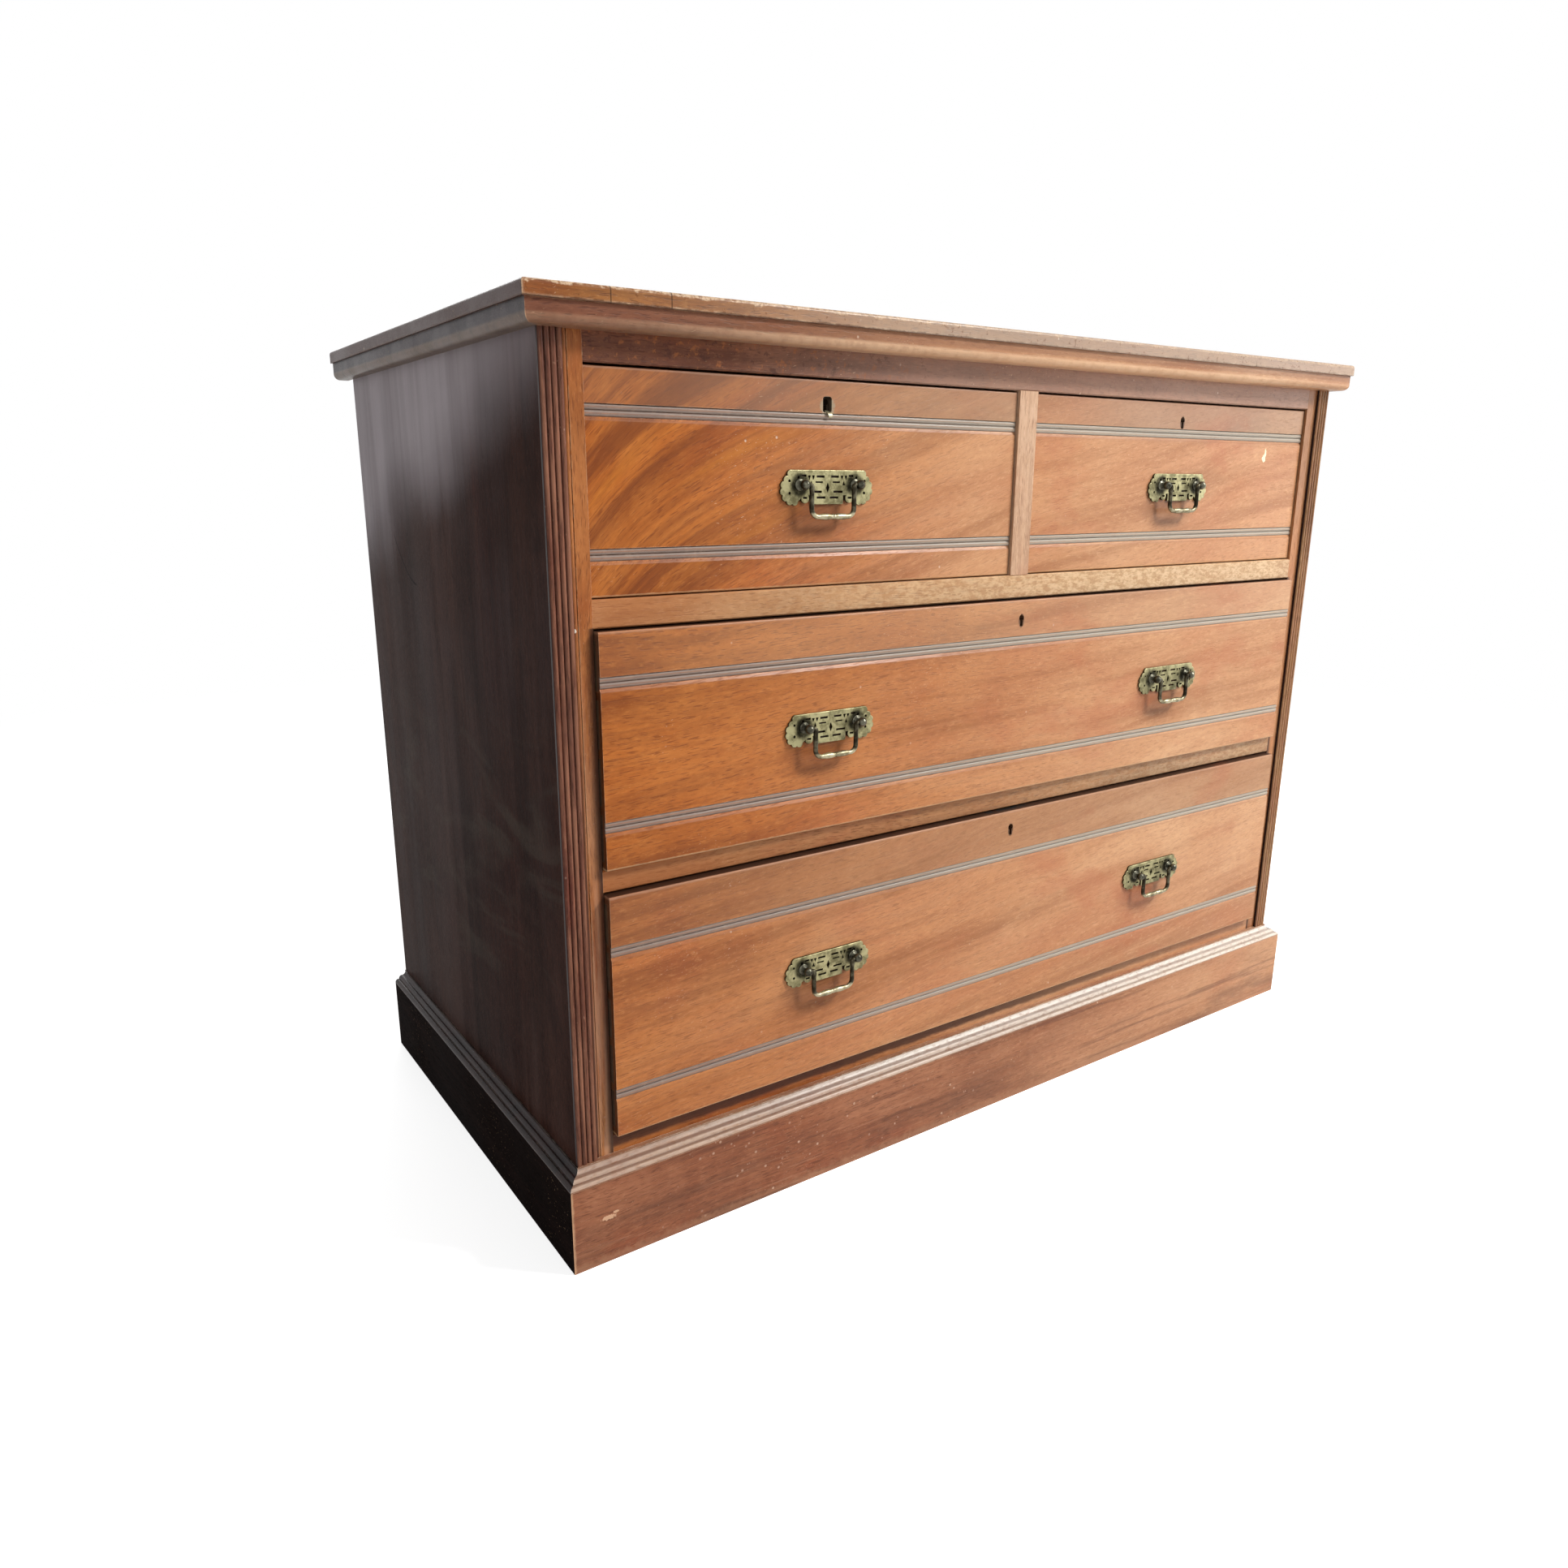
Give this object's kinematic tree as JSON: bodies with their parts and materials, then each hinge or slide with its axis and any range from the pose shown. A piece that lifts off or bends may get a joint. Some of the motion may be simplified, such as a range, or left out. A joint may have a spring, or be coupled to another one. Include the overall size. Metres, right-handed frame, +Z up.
{
  "type": "chest of drawers",
  "caption": "Bachelor's chest: short drawers over long ones with reeded fronts and pierced brass bail handles, in a carcass with reeded pilasters, moulded top and plinth.",
  "frame": {"origin": "centre of the footprint, on the floor under the plinth", "axes": "+X to the right as seen from the front, +Y to the rear so that drawers open towards -Y, +Z up"},
  "size_m": [1.07, 0.5504, 0.8255],
  "materials": {
    "mahogany": "worn satin varnish over orange-brown mahogany",
    "dark_mahogany": "glossy dark varnish",
    "plinth_mahogany": "scuffed varnish over red-brown mahogany",
    "pine": "bare softwood, aged",
    "antique_brass": "tarnished, with dark recesses",
    "lock_iron": "dull dark iron",
    "lock_brass": "dull brass"
  },
  "bodies": {
    "carcass": {"back_boards": "pine", "bottom_board": "pine", "bottom_rail": "mahogany", "drawer_guides": "pine", "drawer_runners": "pine", "drawer_stops": "pine", "dustboards": "pine", "glue_blocks": "pine", "lower_rail": "mahogany", "muntin": "mahogany", "pilaster_left": "mahogany", "pilaster_right": "mahogany", "plinth_front": "plinth_mahogany", "plinth_moulding": "plinth_mahogany", "plinth_sides": "plinth_mahogany", "side_panel_left": "dark_mahogany", "side_panel_right": "dark_mahogany", "stiles": "mahogany", "top_board": "mahogany", "top_moulding": "mahogany", "top_rail": "mahogany", "upper_rail": "mahogany"},
    "top_left_drawer": {"top_left_drawer_back": "pine", "top_left_drawer_bottom": "pine", "top_left_drawer_front": "mahogany", "top_left_drawer_handle_plates": "antique_brass", "top_left_drawer_handle_posts": "antique_brass", "top_left_drawer_lock_case": "lock_iron", "top_left_drawer_sides": "pine"},
    "top_left_bolt": {"top_left_drawer_lock_bolt": "lock_brass"},
    "top_right_drawer": {"top_right_drawer_back": "pine", "top_right_drawer_bottom": "pine", "top_right_drawer_front": "mahogany", "top_right_drawer_handle_plates": "antique_brass", "top_right_drawer_handle_posts": "antique_brass", "top_right_drawer_lock_case": "lock_iron", "top_right_drawer_sides": "pine"},
    "top_right_bolt": {"top_right_drawer_lock_bolt": "lock_brass"},
    "upper_drawer": {"upper_drawer_back": "pine", "upper_drawer_bottom": "pine", "upper_drawer_front": "mahogany", "upper_drawer_handle_plates": "antique_brass", "upper_drawer_handle_posts": "antique_brass", "upper_drawer_lock_case": "lock_iron", "upper_drawer_sides": "pine"},
    "upper_bolt": {"upper_drawer_lock_bolt": "lock_brass"},
    "lower_drawer": {"lower_drawer_back": "pine", "lower_drawer_bottom": "pine", "lower_drawer_front": "mahogany", "lower_drawer_handle_plates": "antique_brass", "lower_drawer_handle_posts": "antique_brass", "lower_drawer_lock_case": "lock_iron", "lower_drawer_sides": "pine"},
    "lower_bolt": {"lower_drawer_lock_bolt": "lock_brass"},
    "top_left_bail_body": {"top_left_bail": "antique_brass"},
    "top_right_bail_body": {"top_right_bail": "antique_brass"},
    "upper_left_bail_body": {"upper_left_bail": "antique_brass"},
    "upper_right_bail_body": {"upper_right_bail": "antique_brass"},
    "lower_left_bail_body": {"lower_left_bail": "antique_brass"},
    "lower_right_bail_body": {"lower_right_bail": "antique_brass"}
  },
  "joints": [
    {"name": "top_left_drawer_slide", "type": "slide", "parent": "carcass", "child": "top_left_drawer", "axis": [0, -1, 0], "range_m": [0, 0.36]},
    {"name": "top_left_bolt_slide", "type": "slide", "parent": "top_left_drawer", "child": "top_left_bolt", "axis": [0, 0, 1], "range_m": [0, 0.0065]},
    {"name": "top_right_drawer_slide", "type": "slide", "parent": "carcass", "child": "top_right_drawer", "axis": [0, -1, 0], "range_m": [0, 0.36]},
    {"name": "top_right_bolt_slide", "type": "slide", "parent": "top_right_drawer", "child": "top_right_bolt", "axis": [0, 0, 1], "range_m": [0, 0.0065]},
    {"name": "upper_drawer_slide", "type": "slide", "parent": "carcass", "child": "upper_drawer", "axis": [0, -1, 0], "range_m": [-0.01, 0.36]},
    {"name": "upper_bolt_slide", "type": "slide", "parent": "upper_drawer", "child": "upper_bolt", "axis": [0, 0, 1], "range_m": [0, 0.0065]},
    {"name": "lower_drawer_slide", "type": "slide", "parent": "carcass", "child": "lower_drawer", "axis": [0, -1, 0], "range_m": [-0.012, 0.36]},
    {"name": "lower_bolt_slide", "type": "slide", "parent": "lower_drawer", "child": "lower_bolt", "axis": [0, 0, 1], "range_m": [0, 0.0065]},
    {"name": "top_left_bail_hinge", "type": "hinge", "parent": "top_left_drawer", "child": "top_left_bail_body", "pos_m": [-0.24665, -0.25875, 0.6844], "axis": [-1, 0, 0], "range_deg": [-15, 160]},
    {"name": "top_right_bail_hinge", "type": "hinge", "parent": "top_right_drawer", "child": "top_right_bail_body", "pos_m": [0.24665, -0.25875, 0.6844], "axis": [-1, 0, 0], "range_deg": [-15, 160]},
    {"name": "upper_left_bail_hinge", "type": "hinge", "parent": "upper_drawer", "child": "upper_left_bail_body", "pos_m": [-0.24665, -0.26875, 0.4694], "axis": [-1, 0, 0], "range_deg": [-15, 160]},
    {"name": "upper_right_bail_hinge", "type": "hinge", "parent": "upper_drawer", "child": "upper_right_bail_body", "pos_m": [0.24665, -0.26875, 0.4694], "axis": [-1, 0, 0], "range_deg": [-15, 160]},
    {"name": "lower_left_bail_hinge", "type": "hinge", "parent": "lower_drawer", "child": "lower_left_bail_body", "pos_m": [-0.24665, -0.27075, 0.2309], "axis": [-1, 0, 0], "range_deg": [-15, 160]},
    {"name": "lower_right_bail_hinge", "type": "hinge", "parent": "lower_drawer", "child": "lower_right_bail_body", "pos_m": [0.24665, -0.27075, 0.2309], "axis": [-1, 0, 0], "range_deg": [-15, 160]}
  ]
}
